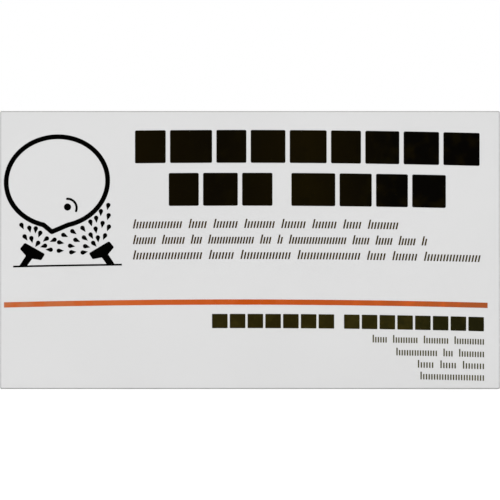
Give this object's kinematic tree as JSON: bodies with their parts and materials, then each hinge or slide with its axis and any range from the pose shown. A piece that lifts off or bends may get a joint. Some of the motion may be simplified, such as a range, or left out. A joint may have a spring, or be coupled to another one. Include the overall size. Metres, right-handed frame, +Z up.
{
  "type": "eyewash station sign",
  "caption": "Flat rectangular wall sign for an eyewash point: printed film on a rigid panel, with a bowed head and spray symbol, held by foam tape on the back.",
  "frame": {"origin": "middle of the side that sticks to the wall, at the centre of the sign's width and height", "axes": "+X along the sign's width to the reader's right, +Y into the wall, +Z up; the printed face looks along -Y"},
  "size_m": [0.137, 0.0027, 0.0762],
  "materials": {
    "panel_plastic": "light grey rigid plastic sheet, satin, with faint extruder lines and a sawn edge",
    "clear_adhesive": "clear pressure-sensitive adhesive layer",
    "printed_film": "light grey printed film, satin with a faint orange peel",
    "heading_ink": "satin screen-printed solid, brown-black",
    "symbol_ink": "satin screen-printed solid, full black",
    "notice_ink": "satin screen-printed, dark brown-grey",
    "name_ink": "satin screen-printed solid, dark olive",
    "contact_ink": "satin screen-printed, olive grey",
    "rule_ink": "satin screen-printed solid, orange red",
    "tape_foam": "white closed-cell foam, matte, fine open cells on the slit sides",
    "tape_adhesive": "clear tacky adhesive skin, glossy"
  },
  "bodies": {
    "root": {"panel": "panel_plastic", "film_adhesive": "clear_adhesive", "face_film": "printed_film", "heading_row_1": "heading_ink", "heading_row_2": "heading_ink", "notice_line_1": "notice_ink", "notice_line_2": "notice_ink", "notice_line_3": "notice_ink", "divider_rule": "rule_ink", "name_line": "name_ink", "contact_line_1": "contact_ink", "contact_line_2": "contact_ink", "contact_line_3": "contact_ink", "contact_line_4": "contact_ink", "head_outline": "symbol_ink", "eye_dot": "symbol_ink", "eyelid_arc": "symbol_ink", "left_nozzle": "symbol_ink", "right_nozzle": "symbol_ink", "basin_line": "symbol_ink", "left_spray_drops": "symbol_ink", "right_spray_drops": "symbol_ink", "left_tape_wall_adhesive": "tape_adhesive", "left_tape_foam": "tape_foam", "left_tape_panel_adhesive": "tape_adhesive", "middle_tape_wall_adhesive": "tape_adhesive", "middle_tape_foam": "tape_foam", "middle_tape_panel_adhesive": "tape_adhesive", "right_tape_wall_adhesive": "tape_adhesive", "right_tape_foam": "tape_foam", "right_tape_panel_adhesive": "tape_adhesive"}
  },
  "joints": []
}
